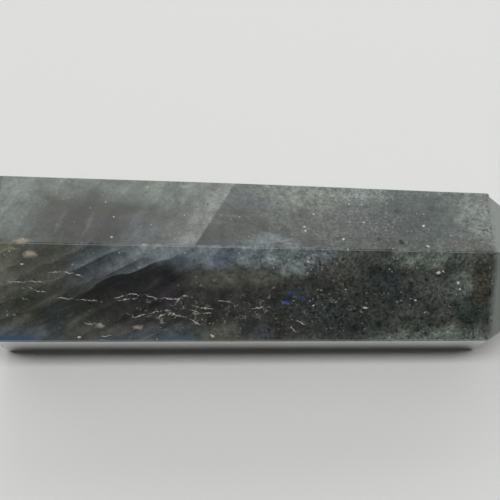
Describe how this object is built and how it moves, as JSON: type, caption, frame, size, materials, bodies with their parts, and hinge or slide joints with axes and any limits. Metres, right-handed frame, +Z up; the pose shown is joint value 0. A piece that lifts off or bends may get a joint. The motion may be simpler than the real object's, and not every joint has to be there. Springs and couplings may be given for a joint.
{
  "type": "labradorite obelisk",
  "caption": "Polished hexagonal labradorite tower with a flat base, slightly drawn-in long faces and a faceted point, lying on one long face.",
  "frame": {"origin": "middle of the stone's bounding box, on the surface that it lies on", "axes": "+X from the sawn base towards the point, +Y away from the viewer, +Z up out of the top face"},
  "size_m": [0.0992, 0.032, 0.0282],
  "materials": {
    "labradorite": "polished"
  },
  "bodies": {
    "root": {"obelisk": "labradorite"}
  },
  "joints": []
}
